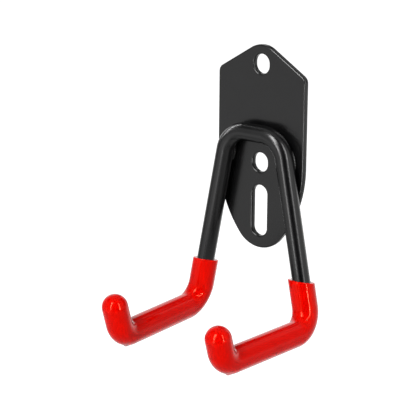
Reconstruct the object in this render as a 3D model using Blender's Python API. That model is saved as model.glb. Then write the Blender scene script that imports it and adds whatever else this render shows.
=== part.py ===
"""Double U-hook for a wall: one bent round bar welded to a punched steel plate.

The bar runs from one hook tip along its arm, up the leg, over the crossbar and
down to the other tip.  Each hook was dipped in soft PVC, which left a thick sleeve
with a slanted rim, and a drip under the heel of the tip.

Units are metres and +Z is up.  X runs across the plate, Y runs into the wall, and
the origin is the centre of the plate's back face, which lies against the wall.
"""
import math

import bmesh
import bpy
from mathutils import Quaternion, Vector

# Clearance kept between pieces that touch on the real object
SEAT_GAP = 0.0003

# Steel plate; a lift is a height above its lowest point
PLATE_WIDTH = 0.0585
PLATE_HEIGHT = 0.1154
PLATE_THICKNESS = 0.0030
ROOF_SLOPE = math.radians(31.8)
PEAK_RADIUS = 0.0138
SHOULDER_RADIUS = 0.0045
TAPER_LIFT = 0.0494
NOSE_RADIUS = 0.0178
EDGE_ROUNDING = 0.0004

# Screw slots punched through the plate
SLOT_WIDTH = 0.0099
SHORT_SLOT_LENGTH = 0.0110
LONG_SLOT_LENGTH = 0.0293
TOP_SLOT_INSET = 0.0107
MIDDLE_SLOT_LIFT = 0.0493
LONG_SLOT_LIFT = 0.0216

# Bent bar, measured on its centreline from corner to corner
BAR_DIAMETER = 0.0100
BAR_END_CHAMFER = 0.0010
CROSSBAR_WIDTH = 0.0354
CROSSBAR_LIFT = 0.0669
CROSSBAR_BEND_RADIUS = 0.0145
LEG_DROP = 0.1053
LEG_SPLAY = math.radians(11.2)
ARM_BEND_RADIUS = 0.0127
ARM_REACH = 0.0725
ARM_TOE_IN = math.radians(2.9)
TIP_BEND_RADIUS = 0.0103
TIP_RISE = 0.0170
TIP_LEAN = math.radians(17.2)

# The bar was bent this far off its middle, so the left tip stands higher
BAR_SHIFT = 0.0015

# PVC sleeve on each hook
SLEEVE_WALL = 0.00195
SLEEVE_CLIMB = 0.0146
SLEEVE_RIM_CHAMFER = 0.0003

# The hook leant back by this much in the bath, so its rims slant and the heels drip
DIP_TILT = math.radians(13)
DRIP_HEIGHT = 0.0008
DRIP_RADIUS = 0.0017

# Weld bead along both sides of each leg
WELD_LENGTH = 0.0110
WELD_OVERRUN = 0.0035
WELD_WIDTH = 0.0030
WELD_CLIMB = math.radians(55)
WELD_CROWN = 0.0006
WELD_RIPPLES = 5
WELD_RIPPLE_HEIGHT = 0.0002
WELD_END_SHARE = 0.4

# Fineness of the facets
CURVE_TOLERANCE = 0.00003
BEND_STEP = math.radians(7.5)
ROUND_SIDES = 24
DOME_STEPS = 6
WELD_STEPS_PER_RIPPLE = 4
WELD_SECTION_STEPS = 4
ROUNDING_SEGMENTS = 2
DRIP_RINGS = 5

# How far a cutter reaches past the plate's faces
CUTTER_OVERRUN = 0.001

BAR_RADIUS = BAR_DIAMETER / 2
BAR_HEIGHT = SEAT_GAP + BAR_RADIUS
BORE_RADIUS = BAR_RADIUS + SEAT_GAP
SLEEVE_RADIUS = BORE_RADIUS + SLEEVE_WALL

SIDES = {"left": -1, "right": 1}
OUT_OF_WALL = Vector((0, -1, 0))
UP_IN_BATH = Vector((0, math.sin(DIP_TILT), math.cos(DIP_TILT)))


def clear_scene():
    """Remove whatever the opened file holds."""
    for item in list(bpy.data.objects):
        bpy.data.objects.remove(item, do_unlink=True)


def make_material(name, colour, roughness, metallic, coat):
    """Principled material of one colour and finish."""
    material = bpy.data.materials.new(name)
    material.use_nodes = True
    shader = material.node_tree.nodes["Principled BSDF"]
    shader.inputs["Base Color"].default_value = (*colour, 1)
    shader.inputs["Roughness"].default_value = roughness
    shader.inputs["Metallic"].default_value = metallic
    shader.inputs["Coat Weight"].default_value = coat
    return material


def make_object(name, shape, material, parent):
    """Turn a finished bmesh into a named object with smooth round faces."""
    bmesh.ops.recalc_face_normals(shape, faces=shape.faces)
    mesh = bpy.data.meshes.new(name)
    shape.to_mesh(mesh)
    shape.free()
    mesh.materials.append(material)
    mesh.shade_smooth()
    mesh.set_sharp_from_angle(angle=math.radians(40))
    item = bpy.data.objects.new(name, mesh)
    item.parent = parent
    bpy.context.scene.collection.objects.link(item)
    return item


def arc_steps(radius, turn):
    """Number of chords that keep an arc within the curve tolerance."""
    widest = 2 * math.acos(1 - CURVE_TOLERANCE / radius)
    return max(2, math.ceil(abs(turn) / widest))


def arc(centre, radius, start, end):
    """Points of an arc in the plate's plane, by angle from +X towards +Z."""
    steps = arc_steps(radius, end - start)
    angles = [start + (end - start) * k / steps for k in range(steps + 1)]
    return [centre + radius * Vector((math.cos(a), 0, math.sin(a))) for a in angles]


def tangent_arc(before, corner, after, radius):
    """Centre, first spoke, axis and turn of the arc that rounds off a corner."""
    back = (before - corner).normalized()
    ahead = (after - corner).normalized()
    half_angle = back.angle(ahead) / 2
    centre = corner + (back + ahead).normalized() * radius / math.sin(half_angle)
    spoke = corner + back * radius / math.tan(half_angle) - centre
    return centre, spoke, ahead.cross(back).normalized(), math.pi - 2 * half_angle


def rounded_corner(before, corner, after, radius):
    """Points of the arc that rounds off a corner of the plate."""
    centre, spoke, axis, turn = tangent_arc(before, corner, after, radius)
    steps = arc_steps(radius, turn)
    return [centre + Quaternion(axis, turn * k / steps) @ spoke for k in range(steps + 1)]


def in_plate(across, height):
    """A point of the plate's back face."""
    return Vector((across, 0, height))


def lifted(lift):
    """Height in the model of a height above the plate's lowest point."""
    return lift - PLATE_HEIGHT / 2


def plate_outline():
    """Outline of the plate: a roof, straight sides and a long taper to a round nose."""
    half_width = PLATE_WIDTH / 2
    peak = in_plate(0, PLATE_HEIGHT / 2 + PEAK_RADIUS * (1 / math.cos(ROOF_SLOPE) - 1))
    shoulder_height = peak.z - half_width * math.tan(ROOF_SLOPE)
    shoulder = in_plate(half_width, shoulder_height)
    taper_start = in_plate(half_width, lifted(TAPER_LIFT))
    nose_rise = TAPER_LIFT - NOSE_RADIUS
    taper_radius = ((half_width**2 + nose_rise**2 - NOSE_RADIUS**2)
                    / (2 * (half_width - NOSE_RADIUS)))
    taper_centre = in_plate(half_width - taper_radius, taper_start.z)
    nose_centre = in_plate(0, lifted(NOSE_RADIUS))
    meeting = math.atan2(nose_centre.z - taper_centre.z, nose_centre.x - taper_centre.x)

    crown = rounded_corner(in_plate(-half_width, shoulder_height), peak, shoulder, PEAK_RADIUS)
    right = rounded_corner(peak, shoulder, taper_start, SHOULDER_RADIUS)
    right += arc(taper_centre, taper_radius, 0, meeting)
    nose = arc(nose_centre, NOSE_RADIUS, meeting, -math.pi - meeting)
    left = [in_plate(-point.x, point.z) for point in reversed(right)]
    return crown + right + nose[1:-1] + left


def slot_outline(height, length):
    """Outline of an upright screw slot with round ends."""
    radius = SLOT_WIDTH / 2
    half_straight = (length - SLOT_WIDTH) / 2
    top = arc(in_plate(0, height + half_straight), radius, 0, math.pi)
    bottom = arc(in_plate(0, height - half_straight), radius, math.pi, 2 * math.pi)
    return top + bottom


def extruded(outline, back, front):
    """Solid of an outline, from one depth in front of the wall to another."""
    shape = bmesh.new()
    corners = [shape.verts.new(point + OUT_OF_WALL * back) for point in outline]
    face = shape.faces.new(corners)
    grown = bmesh.ops.extrude_face_region(shape, geom=[face])["geom"]
    moved = [item for item in grown if isinstance(item, bmesh.types.BMVert)]
    bmesh.ops.translate(shape, verts=moved, vec=OUT_OF_WALL * (front - back))
    return shape


def cut(item, cutter):
    """Subtract one object from another and hide the cutter."""
    boolean = item.modifiers.new(cutter.name, "BOOLEAN")
    boolean.operation = "DIFFERENCE"
    boolean.solver = "EXACT"
    boolean.object = cutter
    cutter.hide_render = True
    cutter.display_type = "WIRE"


def build_plate(material, parent):
    """Punched plate with rounded edges and three upright screw slots."""
    plate = make_object("back_plate", extruded(plate_outline(), 0, PLATE_THICKNESS), material, parent)
    slots = {
        "top_slot": (PLATE_HEIGHT / 2 - TOP_SLOT_INSET, SHORT_SLOT_LENGTH),
        "middle_slot": (lifted(MIDDLE_SLOT_LIFT), SHORT_SLOT_LENGTH),
        "long_slot": (lifted(LONG_SLOT_LIFT), LONG_SLOT_LENGTH),
    }
    for name, (height, length) in slots.items():
        hole = extruded(slot_outline(height, length), -CUTTER_OVERRUN, PLATE_THICKNESS + CUTTER_OVERRUN)
        cut(plate, make_object(name + "_cutter", hole, material, parent))
    rounding = plate.modifiers.new("rounded_edges", "BEVEL")
    rounding.width = EDGE_ROUNDING
    rounding.segments = ROUNDING_SEGMENTS
    rounding.limit_method = "ANGLE"
    rounding.angle_limit = math.radians(50)
    rounding.use_clamp_overlap = False
    return plate


class Route:
    """Centreline of straight runs and bends, addressed by distance from its start.

    Each station has a distance, a place and a frame whose local Z follows the line.
    """

    def __init__(self, corners, radii):
        self.distances = [0.0]
        self.points = [corners[0]]
        self.frames = [(corners[1] - corners[0]).to_track_quat("Z", "Y")]
        self.bends = []
        for before, corner, after, radius in zip(corners, corners[1:], corners[2:], radii):
            self.add_bend(*tangent_arc(before, corner, after, radius))
        self.add_station(corners[-1], self.frames[-1])
        self.length = self.distances[-1]

    def add_station(self, point, frame):
        """Lengthen the line by one chord."""
        self.distances.append(self.distances[-1] + (point - self.points[-1]).length)
        self.points.append(point)
        self.frames.append(frame)

    def add_bend(self, centre, spoke, axis, turn):
        """Lengthen the line to a bend and round it, noting where the bend starts and ends."""
        straight = self.frames[-1]
        steps = math.ceil(turn / BEND_STEP)
        for step in range(steps + 1):
            rotation = Quaternion(axis, turn * step / steps)
            self.add_station(centre + rotation @ spoke, rotation @ straight)
        self.bends.append((self.distances[-1 - steps], self.distances[-1]))

    def place(self, distance):
        """Position and frame at a distance along the line."""
        index = 0
        while index < len(self.distances) - 2 and self.distances[index + 1] < distance:
            index += 1
        start, end = self.distances[index], self.distances[index + 1]
        share = (distance - start) / (end - start)
        position = self.points[index].lerp(self.points[index + 1], share)
        return position, self.frames[index].slerp(self.frames[index + 1], share)

    def stations_between(self, start, end):
        """Distances of the stations that lie clearly inside a stretch."""
        return [d for d in self.distances if start + CURVE_TOLERANCE < d < end - CURVE_TOLERANCE]


def hook_corners(side):
    """Corners of the bar's centreline on one side, from the sleeve's tip to the crossbar."""
    crossbar_corner = Vector((CROSSBAR_WIDTH / 2, -PLATE_THICKNESS - BAR_HEIGHT, lifted(CROSSBAR_LIFT)))
    arm_corner = crossbar_corner + Vector((math.tan(LEG_SPLAY), 0, -1)) * LEG_DROP
    arm_direction = Vector((-math.sin(ARM_TOE_IN), -math.cos(ARM_TOE_IN), 0))
    tip_corner = arm_corner + arm_direction * ARM_REACH
    tip_length = TIP_RISE + SLEEVE_RADIUS - side * BAR_SHIFT
    tip = tip_corner + Vector((0, -math.sin(TIP_LEAN), math.cos(TIP_LEAN))) * tip_length
    return [Vector((side * p.x, p.y, p.z)) for p in (tip, tip_corner, arm_corner, crossbar_corner)]


def bar_route(side):
    """Centreline from the sleeve's tip on one side to the sleeve's tip on the other."""
    corners = hook_corners(side) + hook_corners(-side)[::-1]
    radii = [TIP_BEND_RADIUS, ARM_BEND_RADIUS, CROSSBAR_BEND_RADIUS]
    return Route(corners, radii + radii[::-1])


def add_ring(shape, route, distance, radius):
    """Ring of points round the route, or a single point where the radius is nil."""
    position, frame = route.place(distance)
    if radius == 0:
        return [shape.verts.new(position)]
    angles = [2 * math.pi * side / ROUND_SIDES for side in range(ROUND_SIDES)]
    spokes = [Vector((math.cos(a), math.sin(a), 0)) * radius for a in angles]
    return [shape.verts.new(position + frame @ spoke) for spoke in spokes]


def join_rings(shape, first, second):
    """Faces between two rings, either of which may be a single point."""
    for side in range(ROUND_SIDES):
        following = side + 1
        corners = [first[side % len(first)], first[following % len(first)],
                   second[following % len(second)], second[side % len(second)]]
        shape.faces.new(list(dict.fromkeys(corners)))


def skin(shape, route, profile):
    """Cover a profile of depths and radii turned about the route, and return its rings."""
    rings = [add_ring(shape, route, depth, radius) for depth, radius in profile]
    for first, second in zip(rings, rings[1:]):
        join_rings(shape, first, second)
    return rings


def slant_ring(ring, route, depth):
    """Slide a ring's points along the route, into a plane that was level in the bath."""
    centre, frame = route.place(depth)
    axis = frame @ Vector((0, 0, 1))
    for point in ring:
        point.co -= axis * (point.co - centre).dot(UP_IN_BATH) / axis.dot(UP_IN_BATH)


def straight_profile(route, start, end, radius):
    """Profile of one radius between two depths, with a ring at each station of the bends."""
    depths = [start] + route.stations_between(start, end) + [end]
    return [(depth, radius) for depth in depths]


def dome_profile(centre_depth, radius):
    """Profile of a round end, from its tip to its full radius."""
    angles = [math.pi / 2 * (1 - step / DOME_STEPS) for step in range(DOME_STEPS)]
    tip = [(centre_depth - radius, 0)]
    return tip + [(centre_depth - radius * math.sin(a), radius * math.cos(a)) for a in angles[1:]]


def build_bar(route, material, parent):
    """Round bar with chamfered ends, hidden inside the sleeves."""
    start = SLEEVE_RADIUS - BAR_END_CHAMFER
    end = route.length - start
    end_radius = BAR_RADIUS - BAR_END_CHAMFER
    profile = [(start, end_radius)]
    profile += straight_profile(route, start + BAR_END_CHAMFER, end - BAR_END_CHAMFER, BAR_RADIUS)
    profile += [(end, end_radius)]
    shape = bmesh.new()
    rings = skin(shape, route, profile)
    shape.faces.new(rings[0])
    shape.faces.new(rings[-1])
    return make_object("hook_bar", shape, material, parent)


def drip_depths(route):
    """Depths of the rings that carry the drip, about the sleeve's lowest point in the bath."""
    start, end = route.bends[0]
    lowest = end - (end - start) * DIP_TILT / (math.pi / 2 - TIP_LEAN)
    offsets = [DRIP_RADIUS * (2 * ring / (DRIP_RINGS - 1) - 1) for ring in range(DRIP_RINGS)]
    return lowest, [lowest + offset for offset in offsets]


def add_drip(rings, lowest_point):
    """Draw the points near the sleeve's lowest point out into a drip."""
    for point in (point for ring in rings for point in ring):
        distance = (point.co - lowest_point).length
        point.co -= UP_IN_BATH * DRIP_HEIGHT * math.exp(-(distance / DRIP_RADIUS)**2)


def build_sleeve(route, side_name, material, parent):
    """Soft sleeve with a round closed end, a drip, a bore for the bar and a slanted rim."""
    rim = route.bends[1][1] + SLEEVE_CLIMB
    rim_edge = rim - SLEEVE_RIM_CHAMFER
    lowest, extra_depths = drip_depths(route)
    outer = straight_profile(route, SLEEVE_RADIUS, rim_edge, SLEEVE_RADIUS)
    outer += [(depth, SLEEVE_RADIUS) for depth in extra_depths]
    outer = dome_profile(SLEEVE_RADIUS, SLEEVE_RADIUS) + sorted(outer)
    outer += [(rim, SLEEVE_RADIUS - SLEEVE_RIM_CHAMFER)]
    bore = dome_profile(SLEEVE_RADIUS, BORE_RADIUS)
    bore += straight_profile(route, SLEEVE_RADIUS, rim, BORE_RADIUS)
    shape = bmesh.new()
    outer_rings = skin(shape, route, outer)
    bore_rings = skin(shape, route, bore)
    join_rings(shape, outer_rings[-1], bore_rings[-1])
    add_drip(outer_rings, route.place(lowest)[0] - UP_IN_BATH * SLEEVE_RADIUS)
    slant_ring(outer_rings[-2], route, rim_edge)
    slant_ring(outer_rings[-1], route, rim)
    slant_ring(bore_rings[-1], route, rim)
    return make_object(side_name + "_sleeve", shape, material, parent)


def weld_section(growth, ripple):
    """Section of a bead between bar and plate, as pairs of distance across and height.

    It starts at the root under the bar, climbs the bar's side, falls over the crown
    to the toe on the plate and ends there.
    """
    root_angle = math.acos(BAR_RADIUS / BORE_RADIUS)
    climb = root_angle + (WELD_CLIMB - root_angle) * growth
    section = []
    for step in range(WELD_SECTION_STEPS + 1):
        angle = root_angle + (climb - root_angle) * step / WELD_SECTION_STEPS
        section.append((BORE_RADIUS * math.sin(angle), BAR_HEIGHT - BORE_RADIUS * math.cos(angle)))
    top_across, top_height = section[-1]
    toe_across = section[0][0] + WELD_WIDTH * growth
    slope = Vector((top_height - SEAT_GAP, toe_across - top_across)).normalized()
    for step in range(1, WELD_SECTION_STEPS + 1):
        share = step / WELD_SECTION_STEPS
        bulge = (WELD_CROWN + ripple) * growth * 4 * share * (1 - share)
        across = top_across + (toe_across - top_across) * share + slope.x * bulge
        height = top_height + (SEAT_GAP - top_height) * share + slope.y * bulge
        section.append((across, height))
    return section


def build_weld(route, facing, name, material, parent):
    """Rippled fillet weld along the side of a leg that faces left (-1) or right (1)."""
    leg_top = route.bends[2][0]
    middle = leg_top + WELD_OVERRUN - WELD_LENGTH / 2
    stations = WELD_RIPPLES * WELD_STEPS_PER_RIPPLE
    shape = bmesh.new()
    loops = []
    for station in range(stations + 1):
        place = 2 * station / stations - 1
        growth = WELD_END_SHARE + (1 - WELD_END_SHARE) * math.sqrt(1 - place**2)
        ripple = WELD_RIPPLE_HEIGHT * math.cos(2 * math.pi * station / WELD_STEPS_PER_RIPPLE)
        depth = middle + place * WELD_LENGTH / 2
        position, frame = route.place(depth)
        across = (frame @ Vector((0, 0, 1))).cross(OUT_OF_WALL)
        if across.x * facing < 0:
            across.negate()
        foot = position - OUT_OF_WALL * BAR_HEIGHT
        section = weld_section(growth, ripple)
        loops.append([shape.verts.new(foot + across * s + OUT_OF_WALL * h) for s, h in section])
    corners = len(loops[0])
    for first, second in zip(loops, loops[1:]):
        for corner in range(corners):
            following = (corner + 1) % corners
            shape.faces.new([first[corner], first[following], second[following], second[corner]])
    shape.faces.new(loops[0])
    shape.faces.new(loops[-1])
    return make_object(name, shape, material, parent)


def build_hook():
    """All pieces of the hook, parented to one empty at the origin."""
    black_steel = make_material("black_powder_coated_steel", (0.022, 0.022, 0.023), 0.42, 0.0, 0.0)
    red_pvc = make_material("red_pvc", (0.52, 0.008, 0.003), 0.22, 0.0, 0.4)
    hook = bpy.data.objects.new("double_u_hook", None)
    bpy.context.scene.collection.objects.link(hook)
    build_plate(black_steel, hook)
    build_bar(bar_route(SIDES["left"]), black_steel, hook)
    for side_name, side in SIDES.items():
        route = bar_route(side)
        build_sleeve(route, side_name, red_pvc, hook)
        build_weld(route, side, side_name + "_outer_weld", black_steel, hook)
        build_weld(route, -side, side_name + "_inner_weld", black_steel, hook)


clear_scene()
build_hook()
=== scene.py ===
"""Looks of the double U-hook: a powder-coated plate and bar, and two glossy red PVC sleeves.

Every length is in metres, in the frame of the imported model: X across the plate, Y into
the wall, Z up, with the origin at the centre of the plate's back face.
"""

import math

import bmesh
import bpy
from mathutils import Matrix, Quaternion, Vector


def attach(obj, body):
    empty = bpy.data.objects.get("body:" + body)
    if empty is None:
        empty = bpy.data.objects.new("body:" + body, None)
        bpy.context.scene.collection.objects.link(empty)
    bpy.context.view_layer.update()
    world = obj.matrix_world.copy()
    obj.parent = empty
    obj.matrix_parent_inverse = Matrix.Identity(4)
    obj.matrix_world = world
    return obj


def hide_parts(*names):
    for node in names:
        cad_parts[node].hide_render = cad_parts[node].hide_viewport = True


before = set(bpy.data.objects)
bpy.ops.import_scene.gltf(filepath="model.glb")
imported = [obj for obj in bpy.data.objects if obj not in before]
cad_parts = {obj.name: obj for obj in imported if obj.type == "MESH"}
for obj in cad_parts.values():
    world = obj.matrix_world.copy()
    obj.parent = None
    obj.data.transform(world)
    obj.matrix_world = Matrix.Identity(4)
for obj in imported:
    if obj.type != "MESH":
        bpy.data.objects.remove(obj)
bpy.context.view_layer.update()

# Steel plate; a lift is a height above its lowest point
PLATE_WIDTH = 0.0585
PLATE_HEIGHT = 0.1154
PLATE_THICKNESS = 0.0030
ROOF_SLOPE = math.radians(31.8)
PEAK_RADIUS = 0.0138
SHOULDER_RADIUS = 0.0045
TAPER_LIFT = 0.0494
NOSE_RADIUS = 0.0178
FRONT_ROUNDING = 0.0010
BACK_ROUNDING = 0.0002

# Screw slots: height of the middle and length of each
SLOT_WIDTH = 0.0099
SLOTS = {
    "top_slot": (0.0470, 0.0110),
    "middle_slot": (-0.0084, 0.0110),
    "long_slot": (-0.0361, 0.0293),
}

# Bent bar, measured on its centreline from corner to corner
BAR_RADIUS = 0.0050
SEAT_GAP = 0.0003
CROSSBAR_WIDTH = 0.0354
CROSSBAR_LIFT = 0.0669
CROSSBAR_BEND_RADIUS = 0.0145
LEG_DROP = 0.1053
LEG_SPLAY = math.radians(11.2)
ARM_BEND_RADIUS = 0.0127
ARM_REACH = 0.0725
ARM_TOE_IN = math.radians(2.9)
TIP_BEND_RADIUS = 0.0103
TIP_RISE = 0.0170
TIP_LEAN = math.radians(17.2)
BAR_SHIFT = 0.0015

# PVC sleeves. The hook hung tilted while it was dipped, so the rims lie aslant and a drip
# was left at the lowest point of each.
SLEEVE_RADIUS = 0.00725
SLEEVE_BORE_RADIUS = 0.00515
SLEEVE_CLIMB = 0.0146
RIM_ROUNDING = 0.00055
RIM_BLEND = 0.0080
DIP_TILT = math.radians(13)
DRIP_HEIGHT = 0.0008
DRIP_RADIUS = 0.0017

# Weld beads. The end share is the size of the section at a bead's ends, and the toe share is
# how much of the climb's distance across is added to the width at the toe.
WELD_LENGTH = 0.0110
WELD_OVERRUN = 0.0035
WELD_WIDTH = 0.0030
WELD_CLIMB = math.radians(55)
WELD_CROWN = 0.0007
WELD_RIPPLES = 7
WELD_RIPPLE_HEIGHT = 0.00016
WELD_RIPPLE_LAG = 0.45
WELD_END_SHARE = 0.3
WELD_TOE_SHARE = 0.2

# Powder coat. A noise is given by its repeats per metre and its detail, and spreads colour
# and roughness over the ranges given here.
COAT_COLOURS = ((0.0020, 0.0020, 0.0022), (0.0036, 0.0036, 0.0039))
COAT_IOR = 1.54
COAT_ROUGHNESS = (0.21, 0.25)
COAT_MOTTLING = (90, 3)
COAT_PEEL = (900, 2)
COAT_PEEL_DEPTH = 0.000012
COAT_GRAIN = (3500, 1)
COAT_GRAIN_DEPTH = 0.000008

# Red PVC, given in the same way
PVC_COLOURS = ((0.63, 0.0010, 0.0), (0.71, 0.0016, 0.0))
PVC_IOR = 1.42
PVC_SPECULAR_TINT = (1.0, 0.24, 0.13, 1)
PVC_ROUGHNESS = (0.05, 0.08)
PVC_CLOUDING = (110, 3)
PVC_WAVES = (160, 1)
PVC_WAVES_DEPTH = 0.00004
PVC_GRAIN = (2200, 2)
PVC_GRAIN_DEPTH = 0.0000015

# The range of a noise's values that is spread over another range
NOISE_RANGE = (0.3, 0.7)

# Fineness of the meshes. The plate's faces are filled flat from the face inset inwards, and
# the rings of a sleeve lie closer together within the drip's reach.
FACE_INSET = 0.0020
DRIP_REACH = 0.0051
ARC_STEP = math.radians(2.5)
ROUND_SIDES = 96
STRAIGHT_STEP = 0.0015
DOME_STEPS = 24
LIP_STEPS = 8
DRIP_STEP = 0.0002
WELD_STATIONS = 112
WELD_SECTION_STEPS = 10

# The camera stands where the photograph was taken from, and shows the aim point at the aim
# pixel of a square image as wide as the photograph
IMAGE_SIZE = 420
CAMERA_AZIMUTH = math.radians(37.55)
CAMERA_ELEVATION = math.radians(15.76)
CAMERA_ROLL = math.radians(0.49)
CAMERA_DISTANCE = 0.9984
CAMERA_LENS = 154.16
CAMERA_SENSOR = 36
AIM_POINT = Vector((0, -0.0004, -0.00685))
AIM_PIXEL_ACROSS = 262.68
AIM_PIXEL_DOWN = 158.85

# White floor
FLOOR_HEIGHT = -0.45
FLOOR_HALF_SIZE = 6.0
FLOOR_SEGMENTS = 4
FLOOR_COLOUR = 0.80
FLOOR_ROUGHNESS = 0.9
FLOOR_TOP_UP = 0.80

# Light, as radiances where a white card in full light has 1: a fill for matt surfaces and
# walls for glossy ones to mirror. Azimuths run in degrees from -Y towards +X. The fill is
# strongest within one angle of a direction, and falls to its lowest at another.
FILL_AHEAD = 0.66
FILL_BEHIND = 0.18
FILL_AZIMUTH = 58
FILL_ELEVATION = -15
FILL_FULL_ANGLE = 20
FILL_GONE_ANGLE = 130

# Black curtain
CURTAIN_AZIMUTH = 43
CURTAIN_DISTANCE = 1.15
CURTAIN_WIDTH = 0.95
CURTAIN_TOP = 2.6
CURTAIN_COLOUR = (0.01, 0.01, 0.01, 1)

# What the gloss mirrors: one level all round, and patches laid over it in this order, each
# with its azimuth and elevation, the angles at which it is full and gone, and its radiance
SURROUNDINGS = 0.47
PATCHES = {
    "back_wall": (180, 5, 55, 90, 1.20),
    "back_right_wall": (120, 0, 15, 40, 0.90),
    "back_right_low": (130, -42, 18, 42, 0.42),
    "ceiling": (0, 90, 40, 62, 0.48),
    "front_left_high": (-66, 48, 9, 20, 0.06),
    "back_high": (184, 48, 14, 18, 0.45),
    "back_left_wall": (-128, -2, 10, 22, 1.10),
    "left_wall": (-76, -4, 10, 26, 0.28),
    "back_left_high": (202, 36, 6, 15, 0.05),
    "back_right_high": (142, 20, 14, 30, 0.35),
    "back_left_low": (-125, -42, 12, 28, 0.85),
    "front_left_low": (-38, -16, 8, 19, 0.80),
    "front_low": (-5, -25, 8, 25, 1.25),
    "front_right_low": (45, -32, 20, 45, 0.45),
}

# Upright strip softboxes: azimuth, lowest and highest point, distance, width, radiance
SOFTBOXES = {
    "front_strip_high": (1, 0.18, 1.90, 1.3, 0.24, 14.0),
    "front_strip_middle": (1, -0.24, 0.18, 1.3, 0.24, 6.6),
    "front_strip_low": (1, -0.43, -0.24, 1.3, 0.24, 4.2),
    "front_head": (4, 0.85, 1.85, 1.35, 0.66, 7.0),
    "side_strip_high": (77, 0.08, 1.04, 0.9, 0.16, 9.6),
    "side_strip_middle": (77, -0.01, 0.08, 0.9, 0.16, 5.5),
    "side_strip_low": (77, -0.24, -0.01, 0.9, 0.16, 3.4),
}

# Narrow strips that only the sleeves mirror, in the same order
SLEEVE_STRIPS = {
    "front_glint": (1, -0.10, 1.30, 1.3, 0.13, 42.0),
    "side_glint": (77, -0.24, 0.90, 0.9, 0.08, 40.0),
}

# Strip that only the plate mirrors, along its right edge, and the softbox that it doesn't see
PLATE_STRIPS = {
    "edge_line": (27, -0.48, -0.16, 1.08, 0.10, 30.0),
}
UNSEEN_BY_PLATE = "front_strip_middle"

# Leaning strip at the left that only the bar mirrors: azimuth and elevation of its ends
RIM_STRIP_LOW_END = (-70, 6)
RIM_STRIP_HIGH_END = (-106, 45)
RIM_STRIP_DISTANCE = 1.3
RIM_STRIP_WIDTH = 0.13
RIM_STRIP_RADIANCE = 11.0

SIDES = {"left": -1, "right": 1}
OUT_OF_WALL = Vector((0, -1, 0))
UP_IN_BATH = Vector((0, math.sin(DIP_TILT), math.cos(DIP_TILT)))


def finished_object(name, shape, material):
    """Turn a finished bmesh into a smooth object with one material."""
    bmesh.ops.recalc_face_normals(shape, faces=shape.faces)
    mesh = bpy.data.meshes.new(name)
    shape.to_mesh(mesh)
    shape.free()
    mesh.materials.append(material)
    mesh.shade_smooth()
    item = bpy.data.objects.new(name, mesh)
    bpy.context.scene.collection.objects.link(item)
    return item


def dress(item, node):
    """Let a piece stand for a CAD node: put it on the only body and hide the node."""
    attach(item, "root")
    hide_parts(node)


def arc(centre, radius, start, end):
    """Points of an arc in the plate's plane, by angle from +X towards +Z."""
    steps = math.ceil(abs(end - start) / ARC_STEP)
    angles = [start + (end - start) * k / steps for k in range(steps + 1)]
    return [centre + radius * Vector((math.cos(a), 0, math.sin(a))) for a in angles]


def tangent_arc(before, corner, after, radius):
    """Centre, first spoke, axis and turn of the arc that rounds off a corner."""
    back = (before - corner).normalized()
    ahead = (after - corner).normalized()
    half_angle = back.angle(ahead) / 2
    centre = corner + (back + ahead).normalized() * radius / math.sin(half_angle)
    spoke = corner + back * radius / math.tan(half_angle) - centre
    return centre, spoke, ahead.cross(back).normalized(), math.pi - 2 * half_angle


def rounded_corner(before, corner, after, radius):
    """Points of the arc that rounds off a corner of the plate."""
    centre, spoke, axis, turn = tangent_arc(before, corner, after, radius)
    steps = math.ceil(turn / ARC_STEP)
    return [centre + Quaternion(axis, turn * k / steps) @ spoke for k in range(steps + 1)]


def in_plate(across, height):
    """A point of the plate's back face."""
    return Vector((across, 0, height))


def lifted(lift):
    """Height in the model of a height above the plate's lowest point."""
    return lift - PLATE_HEIGHT / 2


def plate_outline():
    """Outline of the plate: a roof, straight sides and a long taper to a round nose."""
    half_width = PLATE_WIDTH / 2
    peak = in_plate(0, PLATE_HEIGHT / 2 + PEAK_RADIUS * (1 / math.cos(ROOF_SLOPE) - 1))
    shoulder_height = peak.z - half_width * math.tan(ROOF_SLOPE)
    shoulder = in_plate(half_width, shoulder_height)
    taper_start = in_plate(half_width, lifted(TAPER_LIFT))
    nose_rise = TAPER_LIFT - NOSE_RADIUS
    taper_radius = ((half_width**2 + nose_rise**2 - NOSE_RADIUS**2)
                    / (2 * (half_width - NOSE_RADIUS)))
    taper_centre = in_plate(half_width - taper_radius, taper_start.z)
    nose_centre = in_plate(0, lifted(NOSE_RADIUS))
    meeting = math.atan2(nose_centre.z - taper_centre.z, nose_centre.x - taper_centre.x)

    crown = rounded_corner(in_plate(-half_width, shoulder_height), peak, shoulder, PEAK_RADIUS)
    right = rounded_corner(peak, shoulder, taper_start, SHOULDER_RADIUS)
    right += arc(taper_centre, taper_radius, 0, meeting)
    nose = arc(nose_centre, NOSE_RADIUS, meeting, -math.pi - meeting)
    left = [in_plate(-point.x, point.z) for point in reversed(right)]
    return crown + right + nose[1:-1] + left


def slot_outline(height, length):
    """Outline of an upright screw slot with round ends."""
    radius = SLOT_WIDTH / 2
    half_straight = (length - SLOT_WIDTH) / 2
    top = arc(in_plate(0, height + half_straight), radius, 0, math.pi)
    bottom = arc(in_plate(0, height - half_straight), radius, math.pi, 2 * math.pi)
    return top + bottom


def inward_offset(outline, distance):
    """Outline moved sideways, to its left as it runs, by a distance."""
    moved = []
    count = len(outline)
    for index, point in enumerate(outline):
        along = outline[(index + 1) % count] - outline[index - 1]
        sideways = Vector((-along.z, 0, along.x)).normalized()
        moved.append(point + sideways * distance)
    return moved


def rounded_lip(radius):
    """Quarter round from a face to a cut edge, as pairs of inset and depth below the face."""
    turns = [math.pi / 2 * step / LIP_STEPS for step in range(LIP_STEPS + 1)]
    return [(radius * (1 - math.sin(turn)), radius * (1 - math.cos(turn))) for turn in turns]


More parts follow.
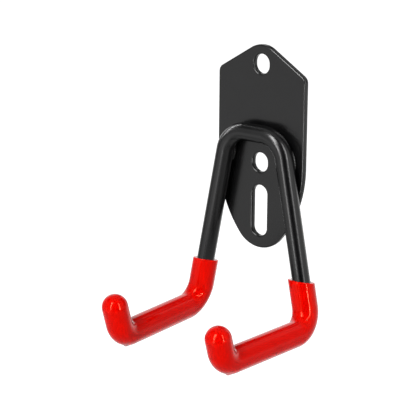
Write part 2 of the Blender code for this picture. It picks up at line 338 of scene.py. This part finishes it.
def edge_profile():
    """Steps over the thickness of a cut edge, as pairs of inset and depth from the back face."""
    front = [(inset, PLATE_THICKNESS - depth) for inset, depth in rounded_lip(FRONT_ROUNDING)]
    profile = [(FACE_INSET, 0.0)] + rounded_lip(BACK_ROUNDING) + front[::-1]
    return profile + [(FACE_INSET, PLATE_THICKNESS)]


def edge_wall(shape, outline, inward):
    """Wall of a cut edge with rounded corners; returns its loops at the back and the front."""
    loops = []
    for inset, depth in edge_profile():
        loop = inward_offset(outline, inward * inset)
        loops.append([shape.verts.new(point + OUT_OF_WALL * depth) for point in loop])
    count = len(outline)
    for first, second in zip(loops, loops[1:]):
        for index in range(count):
            following = (index + 1) % count
            shape.faces.new([first[index], first[following], second[following], second[index]])
    return loops[0], loops[-1]


def loop_edges(shape, loop):
    """Edges round a closed loop of points."""
    return [shape.edges.get((loop[index - 1], loop[index])) for index in range(len(loop))]


def signed_area(outline):
    """Area inside an outline, positive where it runs from +X towards +Z."""
    return sum(a.x * b.z - b.x * a.z for a, b in zip(outline, outline[1:] + outline[:1])) / 2


def build_plate(material):
    """Punched plate with rounded edges and three upright screw slots."""
    shape = bmesh.new()
    outlines = [(plate_outline(), 1)]
    outlines += [(slot_outline(height, length), -1) for height, length in SLOTS.values()]
    back_edges = []
    front_edges = []
    for outline, material_side in outlines:
        inward = material_side * math.copysign(1, signed_area(outline))
        back, front = edge_wall(shape, outline, inward)
        back_edges += loop_edges(shape, back)
        front_edges += loop_edges(shape, front)
    bmesh.ops.triangle_fill(shape, edges=back_edges, use_beauty=True)
    bmesh.ops.triangle_fill(shape, edges=front_edges, use_beauty=True)
    plate = finished_object("steel_plate", shape, material)
    flat_faces = plate.modifiers.new("flat_faces", "WEIGHTED_NORMAL")
    flat_faces.weight = 100
    return plate


class Route:
    """Centreline of straight runs and true arcs, addressed by distance from its start."""

    def __init__(self, corners, radii):
        start = corners[0]
        frame_here = (corners[1] - corners[0]).to_track_quat("Z", "Y")
        self.pieces = []
        self.bends = []
        self.length = 0.0
        for before, corner, after, radius in zip(corners, corners[1:], corners[2:], radii):
            centre, spoke, axis, turn = tangent_arc(before, corner, after, radius)
            self.add_straight(start, centre + spoke, frame_here)
            self.bends.append((self.length, self.length + radius * turn))
            form = (centre, spoke, axis, turn)
            self.pieces.append((self.length, radius * turn, form, frame_here))
            self.length += radius * turn
            start = centre + Quaternion(axis, turn) @ spoke
            frame_here = Quaternion(axis, turn) @ frame_here
        self.add_straight(start, corners[-1], frame_here)

    def add_straight(self, start, end, frame_here):
        """Lengthen the line by a straight run."""
        run = (end - start).length
        self.pieces.append((self.length, run, (start, end), frame_here))
        self.length += run

    def place(self, distance):
        """Position and frame at a distance along the line."""
        piece = [item for item in self.pieces if item[0] <= distance][-1]
        begin, run, form, frame_here = piece
        share = (distance - begin) / run
        if len(form) == 2:
            return form[0].lerp(form[1], share), frame_here
        centre, spoke, axis, turn = form
        rotation = Quaternion(axis, turn * share)
        return centre + rotation @ spoke, rotation @ frame_here

    def depths(self, start, end):
        """Depths for rings between two depths, both included, closer together in the bends."""
        steps = math.ceil((end - start) / STRAIGHT_STEP)
        rings = [start + (end - start) * k / steps for k in range(steps + 1)]
        for bend_start, bend_end in self.bends:
            turns = math.ceil((bend_end - bend_start) / TIP_BEND_RADIUS / ARC_STEP)
            inner = [bend_start + (bend_end - bend_start) * k / turns for k in range(turns + 1)]
            rings += [depth for depth in inner if start < depth < end]
        return sorted(rings)


def hook_corners(side):
    """Corners of the bar's centreline on one side, from the sleeve's tip to the crossbar."""
    bar_depth = -PLATE_THICKNESS - SEAT_GAP - BAR_RADIUS
    crossbar_corner = Vector((CROSSBAR_WIDTH / 2, bar_depth, lifted(CROSSBAR_LIFT)))
    arm_corner = crossbar_corner + Vector((math.tan(LEG_SPLAY), 0, -1)) * LEG_DROP
    arm_direction = Vector((-math.sin(ARM_TOE_IN), -math.cos(ARM_TOE_IN), 0))
    tip_corner = arm_corner + arm_direction * ARM_REACH
    tip_length = TIP_RISE + SLEEVE_RADIUS - side * BAR_SHIFT
    tip = tip_corner + Vector((0, -math.sin(TIP_LEAN), math.cos(TIP_LEAN))) * tip_length
    return [Vector((side * p.x, p.y, p.z)) for p in (tip, tip_corner, arm_corner, crossbar_corner)]


def bar_route(side):
    """Centreline from the sleeve's tip on one side to the sleeve's tip on the other."""
    corners = hook_corners(side) + hook_corners(-side)[::-1]
    radii = [TIP_BEND_RADIUS, ARM_BEND_RADIUS, CROSSBAR_BEND_RADIUS]
    return Route(corners, radii + radii[::-1])


def add_ring(shape, route, distance, radius):
    """Ring of points round the route, or a single point where the radius is nil."""
    position, frame_here = route.place(distance)
    if radius == 0:
        return [shape.verts.new(position)]
    angles = [2 * math.pi * side / ROUND_SIDES for side in range(ROUND_SIDES)]
    spokes = [Vector((math.cos(a), math.sin(a), 0)) * radius for a in angles]
    return [shape.verts.new(position + frame_here @ spoke) for spoke in spokes]


def join_rings(shape, first, second):
    """Faces between two rings, either of which may be a single point."""
    for side in range(ROUND_SIDES):
        following = side + 1
        corners = [first[side % len(first)], first[following % len(first)],
                   second[following % len(second)], second[side % len(second)]]
        shape.faces.new(list(dict.fromkeys(corners)))


def skin(shape, route, profile):
    """Cover a profile of depths and radii turned about the route, and return its rings."""
    rings = [add_ring(shape, route, depth, radius) for depth, radius in profile]
    for first, second in zip(rings, rings[1:]):
        join_rings(shape, first, second)
    return rings


def build_bar(route, material):
    """Round bar, which ends inside the sleeves."""
    end = route.length - SLEEVE_RADIUS
    shape = bmesh.new()
    rings = skin(shape, route, [(depth, BAR_RADIUS) for depth in route.depths(SLEEVE_RADIUS, end)])
    shape.faces.new(rings[0])
    shape.faces.new(rings[-1])
    return finished_object("bent_bar", shape, material)


def dome_profile(centre_depth, radius):
    """Profile of a round end, from its tip to its full radius."""
    angles = [math.pi / 2 * (1 - step / DOME_STEPS) for step in range(DOME_STEPS)]
    tip = [(centre_depth - radius, 0)]
    return tip + [(centre_depth - radius * math.sin(a), radius * math.cos(a)) for a in angles[1:]]


def lowest_depth(route):
    """Depth of the heel's lowest point while the hook hung in the bath."""
    start, end = route.bends[0]
    return end - (end - start) * DIP_TILT / (math.pi / 2 - TIP_LEAN)


def add_drip(rings, lowest_point):
    """Draw the points near the sleeve's lowest point out into a drip."""
    for point in (point for ring in rings for point in ring):
        distance = (point.co - lowest_point).length
        point.co -= UP_IN_BATH * DRIP_HEIGHT * math.exp(-(distance / DRIP_RADIUS)**2)


def slant_rings(rings, profile, route, rim):
    """Slide the rings near the rim along the route, so that the rim lies level in the bath."""
    for ring, (depth, _) in zip(rings, profile):
        share = 1 - (rim - depth) / RIM_BLEND
        if share <= 0:
            continue
        ease = share * share * (3 - 2 * share)
        centre, frame_here = route.place(depth)
        axis = frame_here @ Vector((0, 0, 1))
        for point in ring:
            point.co -= axis * (ease * (point.co - centre).dot(UP_IN_BATH) / axis.dot(UP_IN_BATH))


def rim_profile(rim):
    """Profile of the rounded lip, from the sleeve's outer side over to its bore."""
    turns = [math.pi / 2 * step / LIP_STEPS for step in range(1, LIP_STEPS + 1)]
    lip = []
    for turn in turns:
        lip.append((rim - RIM_ROUNDING * (1 - math.sin(turn)),
                    SLEEVE_RADIUS - RIM_ROUNDING * (1 - math.cos(turn))))
    for turn in reversed(turns):
        lip.append((rim - RIM_ROUNDING * (1 - math.sin(turn)),
                    SLEEVE_BORE_RADIUS + RIM_ROUNDING * (1 - math.cos(turn))))
    return lip


def build_sleeve(route, side_name, material):
    """Dip-coated sleeve with a round end, a drip under the heel and a slanted rounded rim.

    It is left out of what the gloss mirrors, so that the black steel shows no red.
    """
    rim = route.bends[1][1] + SLEEVE_CLIMB
    lowest = lowest_depth(route)
    drip_rings = round(2 * DRIP_REACH / DRIP_STEP)
    outer = route.depths(SLEEVE_RADIUS, rim - RIM_ROUNDING)
    outer += [lowest - DRIP_REACH + 2 * DRIP_REACH * k / drip_rings for k in range(drip_rings + 1)]
    profile = dome_profile(SLEEVE_RADIUS, SLEEVE_RADIUS)
    profile += [(depth, SLEEVE_RADIUS) for depth in sorted(outer)]
    profile += rim_profile(rim)
    bore = route.depths(SLEEVE_RADIUS, rim - RIM_ROUNDING)
    profile += [(depth, SLEEVE_BORE_RADIUS) for depth in reversed(bore)]
    shape = bmesh.new()
    rings = skin(shape, route, profile)
    shape.faces.new(rings[-1])
    add_drip(rings, route.place(lowest)[0] - UP_IN_BATH * SLEEVE_RADIUS)
    slant_rings(rings, profile, route, rim)
    sleeve = finished_object(side_name + "_sleeve_skin", shape, material)
    sleeve.visible_glossy = False
    return sleeve


def weld_section(growth, phase):
    """Section of a bead between bar and plate, as pairs of distance across and height.

    It climbs the bar's side from the root under it, falls over the crown to the toe on
    the plate, and returns along the plate.
    """
    climb = WELD_CLIMB * growth
    section = []
    for step in range(WELD_SECTION_STEPS + 1):
        angle = climb * step / WELD_SECTION_STEPS
        height = SEAT_GAP + BAR_RADIUS * (1 - math.cos(angle))
        section.append((BAR_RADIUS * math.sin(angle), height))
    top_across, top_height = section[-1]
    toe_across = WELD_WIDTH * growth + BAR_RADIUS * math.sin(WELD_CLIMB) * WELD_TOE_SHARE
    slope = Vector((top_height, toe_across - top_across)).normalized()
    for step in range(1, WELD_SECTION_STEPS + 1):
        share = step / WELD_SECTION_STEPS
        lag = 2 * math.pi * WELD_RIPPLE_LAG * (2 * share - 1)**2
        ripple = WELD_RIPPLE_HEIGHT * math.cos(phase + lag)
        bulge = (WELD_CROWN + ripple) * growth * 4 * share * (1 - share)
        across = top_across + (toe_across - top_across) * share + slope.x * bulge
        height = top_height * (1 - share) + slope.y * bulge
        section.append((across, height))
    section.append((0.0, 0.0))
    return section


def build_weld(route, facing, name, material):
    """Rippled fillet weld along the side of a leg that faces left (-1) or right (1)."""
    middle = route.bends[2][0] + WELD_OVERRUN - WELD_LENGTH / 2
    shape = bmesh.new()
    loops = []
    for station in range(WELD_STATIONS + 1):
        place = 2 * station / WELD_STATIONS - 1
        growth = WELD_END_SHARE + (1 - WELD_END_SHARE) * math.sqrt(1 - place**2)
        phase = 2 * math.pi * WELD_RIPPLES * station / WELD_STATIONS
        position, frame_here = route.place(middle + place * WELD_LENGTH / 2)
        across = (frame_here @ Vector((0, 0, 1))).cross(OUT_OF_WALL)
        if across.x * facing < 0:
            across.negate()
        foot = position - OUT_OF_WALL * (SEAT_GAP + BAR_RADIUS)
        section = weld_section(growth, phase)
        loops.append([shape.verts.new(foot + across * s + OUT_OF_WALL * h) for s, h in section])
    corners = len(loops[0])
    for first, second in zip(loops, loops[1:]):
        for corner in range(corners):
            following = (corner + 1) % corners
            shape.faces.new([first[corner], first[following], second[following], second[corner]])
    shape.faces.new(loops[0])
    shape.faces.new(loops[-1])
    return finished_object(name + "_bead", shape, material)


def add_node(tree, kind, settings=None, **inputs):
    """Add a shader node, with its settings and the values of its named inputs."""
    node = tree.nodes.new(kind)
    for name, value in (settings or {}).items():
        setattr(node, name, value)
    for name, value in inputs.items():
        node.inputs[name.replace("_", " ")].default_value = value
    return node


def surface_noise(tree, place, scale, detail):
    """Noise fixed to the piece, with its scale in repeats per metre."""
    node = add_node(tree, "ShaderNodeTexNoise", Scale=scale, Detail=detail)
    tree.links.new(place.outputs["Object"], node.inputs["Vector"])
    return node.outputs["Fac"]


def mapped(tree, value, source, target, interpolation="LINEAR"):
    """Value carried over from one range to another."""
    node = add_node(tree, "ShaderNodeMapRange", {"interpolation_type": interpolation})
    names = ("From Min", "From Max", "To Min", "To Max")
    for name, number in zip(names, (*source, *target)):
        node.inputs[name].default_value = number
    tree.links.new(value, node.inputs["Value"])
    return node.outputs["Result"]


def spread(tree, noise, target):
    """Stretch a noise value over a range."""
    return mapped(tree, noise, NOISE_RANGE, target)


def blended_colour(tree, noise, colours):
    """Colour between two others by a noise value."""
    node = add_node(tree, "ShaderNodeMix", {"data_type": "RGBA"})
    node.inputs["A"].default_value = (*colours[0], 1)
    node.inputs["B"].default_value = (*colours[1], 1)
    tree.links.new(spread(tree, noise, (0, 1)), node.inputs["Factor"])
    return node.outputs["Result"]


def bumped(tree, heights):
    """Normal bent by several height fields, each a value with its depth in metres."""
    normal = None
    for value, depth in heights:
        node = add_node(tree, "ShaderNodeBump", Strength=1.0, Distance=depth)
        tree.links.new(value, node.inputs["Height"])
        if normal:
            tree.links.new(normal, node.inputs["Normal"])
        normal = node.outputs["Normal"]
    return normal


def black_powder_coat():
    """Satin black powder coat: fine orange peel, faint mottling and uneven gloss."""
    material = bpy.data.materials.new("black_powder_coat")
    material.use_nodes = True
    tree = material.node_tree
    shader = tree.nodes["Principled BSDF"]
    shader.inputs["IOR"].default_value = COAT_IOR
    place = tree.nodes.new("ShaderNodeTexCoord")
    mottling = surface_noise(tree, place, *COAT_MOTTLING)
    peel = surface_noise(tree, place, *COAT_PEEL)
    grain = surface_noise(tree, place, *COAT_GRAIN)
    relief = bumped(tree, [(peel, COAT_PEEL_DEPTH), (grain, COAT_GRAIN_DEPTH)])
    colour = blended_colour(tree, mottling, COAT_COLOURS)
    tree.links.new(colour, shader.inputs["Base Color"])
    tree.links.new(spread(tree, mottling, COAT_ROUGHNESS), shader.inputs["Roughness"])
    tree.links.new(relief, shader.inputs["Normal"])
    return material


def red_pvc():
    """Glossy red soft PVC: slow waves from the dip, faint clouding and uneven gloss."""
    material = bpy.data.materials.new("red_soft_pvc")
    material.use_nodes = True
    tree = material.node_tree
    shader = tree.nodes["Principled BSDF"]
    shader.inputs["IOR"].default_value = PVC_IOR
    shader.inputs["Specular Tint"].default_value = PVC_SPECULAR_TINT
    place = tree.nodes.new("ShaderNodeTexCoord")
    clouding = surface_noise(tree, place, *PVC_CLOUDING)
    waves = surface_noise(tree, place, *PVC_WAVES)
    grain = surface_noise(tree, place, *PVC_GRAIN)
    relief = bumped(tree, [(waves, PVC_WAVES_DEPTH), (grain, PVC_GRAIN_DEPTH)])
    colour = blended_colour(tree, clouding, PVC_COLOURS)
    tree.links.new(colour, shader.inputs["Base Color"])
    tree.links.new(spread(tree, clouding, PVC_ROUGHNESS), shader.inputs["Roughness"])
    tree.links.new(relief, shader.inputs["Normal"])
    return material


def build_hook():
    """All pieces of the hook by the name of the CAD node that each stands for."""
    coat = black_powder_coat()
    pvc = red_pvc()
    pieces = {
        "back_plate": build_plate(coat),
        "hook_bar": build_bar(bar_route(SIDES["left"]), coat),
    }
    for side_name, side in SIDES.items():
        route = bar_route(side)
        pieces[side_name + "_sleeve"] = build_sleeve(route, side_name, pvc)
        for place_name, facing in (("outer", side), ("inner", -side)):
            node = f"{side_name}_{place_name}_weld"
            pieces[node] = build_weld(route, facing, node, coat)
    for node, piece in pieces.items():
        dress(piece, node)
    return pieces


def build_floor():
    """White floor well below the hook, topped up so that only the shadow is darker than white."""
    shape = bmesh.new()
    bmesh.ops.create_grid(
        shape, x_segments=FLOOR_SEGMENTS, y_segments=FLOOR_SEGMENTS, size=FLOOR_HALF_SIZE)
    bmesh.ops.translate(shape, verts=shape.verts, vec=(0, 0, FLOOR_HEIGHT))
    material = bpy.data.materials.new("white_floor")
    material.use_nodes = True
    tree = material.node_tree
    shader = tree.nodes["Principled BSDF"]
    shader.inputs["Base Color"].default_value = (FLOOR_COLOUR, FLOOR_COLOUR, FLOOR_COLOUR, 1)
    shader.inputs["Roughness"].default_value = FLOOR_ROUGHNESS
    shader.inputs["Emission Color"].default_value = (1, 1, 1, 1)
    path = tree.nodes.new("ShaderNodeLightPath")
    top_up = chosen(tree, path.outputs["Is Camera Ray"], 0.0, FLOOR_TOP_UP)
    tree.links.new(top_up, shader.inputs["Emission Strength"])
    floor = finished_object("floor", shape, material)
    floor.visible_glossy = False


def direction(azimuth, elevation):
    """Unit vector by degrees from -Y towards +X and above the horizon."""
    a, e = math.radians(azimuth), math.radians(elevation)
    return Vector((math.sin(a) * math.cos(e), -math.cos(a) * math.cos(e), math.sin(e)))


def add_softbox(name, azimuth, low, high, distance, width, radiance):
    """Upright strip softbox that faces the hook, from one height to another."""
    light = bpy.data.lights.new(name, "AREA")
    light.shape = "RECTANGLE"
    light.size = width
    light.size_y = high - low
    light.energy = radiance * math.pi * width * (high - low)
    lamp = bpy.data.objects.new(name, light)
    lamp.location = direction(azimuth, 0) * distance + Vector((0, 0, (high + low) / 2))
    lamp.rotation_euler = direction(azimuth, 0).to_track_quat("Z", "Y").to_euler()
    bpy.context.scene.collection.objects.link(lamp)
    return lamp


def link_light(lamp, pieces, link_state):
    """Let a lamp reach only some pieces ("INCLUDE"), or all but them ("EXCLUDE")."""
    receivers = bpy.data.collections.new(lamp.name + "_receivers")
    for piece in pieces:
        receivers.objects.link(piece)
    for member in receivers.collection_objects:
        member.light_linking.link_state = link_state
    lamp.light_linking.receiver_collection = receivers


def mirrored_only(lamp, pieces):
    """Leave a lamp to be seen only in the gloss of some pieces."""
    lamp.visible_diffuse = False
    link_light(lamp, pieces, "INCLUDE")


def patch_share(tree, place, azimuth, elevation, full, gone):
    """1 within one angle of a direction of the surroundings, falling to 0 at another."""
    node = add_node(tree, "ShaderNodeVectorMath", {"operation": "DOT_PRODUCT"})
    node.inputs[1].default_value = direction(azimuth, elevation)
    tree.links.new(place.outputs["Generated"], node.inputs[0])
    cosines = (math.cos(math.radians(gone)), math.cos(math.radians(full)))
    return mapped(tree, node.outputs["Value"], cosines, (0, 1), "SMOOTHSTEP")


def chosen(tree, share, otherwise, value):
    """One value where a share is nil and another where it is 1; either is a number or linked."""
    node = add_node(tree, "ShaderNodeMix", {"data_type": "FLOAT"})
    tree.links.new(share, node.inputs["Factor"])
    for name, item in (("A", otherwise), ("B", value)):
        if isinstance(item, (int, float)):
            node.inputs[name].default_value = item
        else:
            tree.links.new(item, node.inputs[name])
    return node.outputs["Result"]


def build_world():
    """White surroundings, with patches of other levels that only the gloss mirrors."""
    world = bpy.data.worlds.new("studio")
    world.use_nodes = True
    bpy.context.scene.world = world
    tree = world.node_tree
    background = tree.nodes["Background"]
    background.inputs["Color"].default_value = (1, 1, 1, 1)
    place = tree.nodes.new("ShaderNodeTexCoord")
    walls = SURROUNDINGS
    for azimuth, elevation, full, gone, radiance in PATCHES.values():
        share = patch_share(tree, place, azimuth, elevation, full, gone)
        walls = chosen(tree, share, walls, radiance)
    path = tree.nodes.new("ShaderNodeLightPath")
    ahead = patch_share(tree, place, FILL_AZIMUTH, FILL_ELEVATION, FILL_FULL_ANGLE, FILL_GONE_ANGLE)
    fill = chosen(tree, ahead, FILL_BEHIND, FILL_AHEAD)
    mirrored = chosen(tree, path.outputs["Is Glossy Ray"], fill, walls)
    seen = chosen(tree, path.outputs["Is Camera Ray"], mirrored, 1.0)
    tree.links.new(seen, background.inputs["Strength"])


def build_curtain():
    """Black curtain behind the camera, which only the gloss mirrors."""
    shape = bmesh.new()
    middle = direction(CURTAIN_AZIMUTH, 0) * CURTAIN_DISTANCE
    across = direction(CURTAIN_AZIMUTH + 90, 0) * CURTAIN_WIDTH / 2
    foot = Vector((0, 0, FLOOR_HEIGHT))
    top = Vector((0, 0, CURTAIN_TOP))
    left = middle - across
    right = middle + across
    corners = [left + foot, right + foot, right + top, left + top]
    shape.faces.new([shape.verts.new(corner) for corner in corners])
    material = bpy.data.materials.new("black_curtain")
    material.use_nodes = True
    shader = material.node_tree.nodes["Principled BSDF"]
    shader.inputs["Base Color"].default_value = CURTAIN_COLOUR
    shader.inputs["Roughness"].default_value = 1.0
    shader.inputs["Specular IOR Level"].default_value = 0.0
    curtain = finished_object("black_curtain", shape, material)
    curtain.visible_camera = False


def add_rim_strip(bar):
    """Leaning strip softbox, which only draws a line along the bar's outer left bend."""
    low_end = direction(*RIM_STRIP_LOW_END) * RIM_STRIP_DISTANCE
    high_end = direction(*RIM_STRIP_HIGH_END) * RIM_STRIP_DISTANCE
    length = (high_end - low_end).length
    light = bpy.data.lights.new("rim_strip", "AREA")
    light.shape = "RECTANGLE"
    light.size = RIM_STRIP_WIDTH
    light.size_y = length
    light.energy = RIM_STRIP_RADIANCE * math.pi * RIM_STRIP_WIDTH * length
    lamp = bpy.data.objects.new("rim_strip", light)
    outward = (low_end + high_end).normalized()
    along = (high_end - low_end).normalized()
    turned = Matrix((along.cross(outward), along, outward)).transposed().to_4x4()
    lamp.matrix_world = Matrix.Translation((low_end + high_end) / 2) @ turned
    mirrored_only(lamp, [bar])
    bpy.context.scene.collection.objects.link(lamp)


def build_lights(pieces):
    """Tall softboxes in front and at the right, and strips that only some pieces mirror."""
    for name, sizes in SOFTBOXES.items():
        lamp = add_softbox(name, *sizes)
        if name == UNSEEN_BY_PLATE:
            link_light(lamp, [pieces["back_plate"]], "EXCLUDE")
    sleeves = [pieces["left_sleeve"], pieces["right_sleeve"]]
    for name, sizes in SLEEVE_STRIPS.items():
        mirrored_only(add_softbox(name, *sizes), sleeves)
    for name, sizes in PLATE_STRIPS.items():
        mirrored_only(add_softbox(name, *sizes), [pieces["back_plate"]])
    add_rim_strip(pieces["hook_bar"])


def build_camera():
    """Camera at the photograph's viewing angle and framing."""
    back = direction(math.degrees(CAMERA_AZIMUTH), math.degrees(CAMERA_ELEVATION))
    level = Vector((math.cos(CAMERA_AZIMUTH), math.sin(CAMERA_AZIMUTH), 0))
    roll = Quaternion(back, CAMERA_ROLL)
    right = roll @ level
    up = back.cross(right)
    metres_per_pixel = CAMERA_DISTANCE * CAMERA_SENSOR / (CAMERA_LENS * IMAGE_SIZE)
    sideways = (IMAGE_SIZE / 2 - AIM_PIXEL_ACROSS) * metres_per_pixel
    upwards = (AIM_PIXEL_DOWN - IMAGE_SIZE / 2) * metres_per_pixel
    data = bpy.data.cameras.new("camera")
    data.lens = CAMERA_LENS
    data.sensor_width = CAMERA_SENSOR
    camera = bpy.data.objects.new("camera", data)
    place = AIM_POINT + back * CAMERA_DISTANCE + right * sideways + up * upwards
    turned = Matrix((right, up, back)).transposed().to_4x4()
    camera.matrix_world = Matrix.Translation(place) @ turned
    bpy.context.scene.collection.objects.link(camera)
    bpy.context.scene.camera = camera


hook = build_hook()
build_floor()
build_world()
build_curtain()
build_lights(hook)
build_camera()
bpy.context.scene.view_settings.view_transform = "Standard"
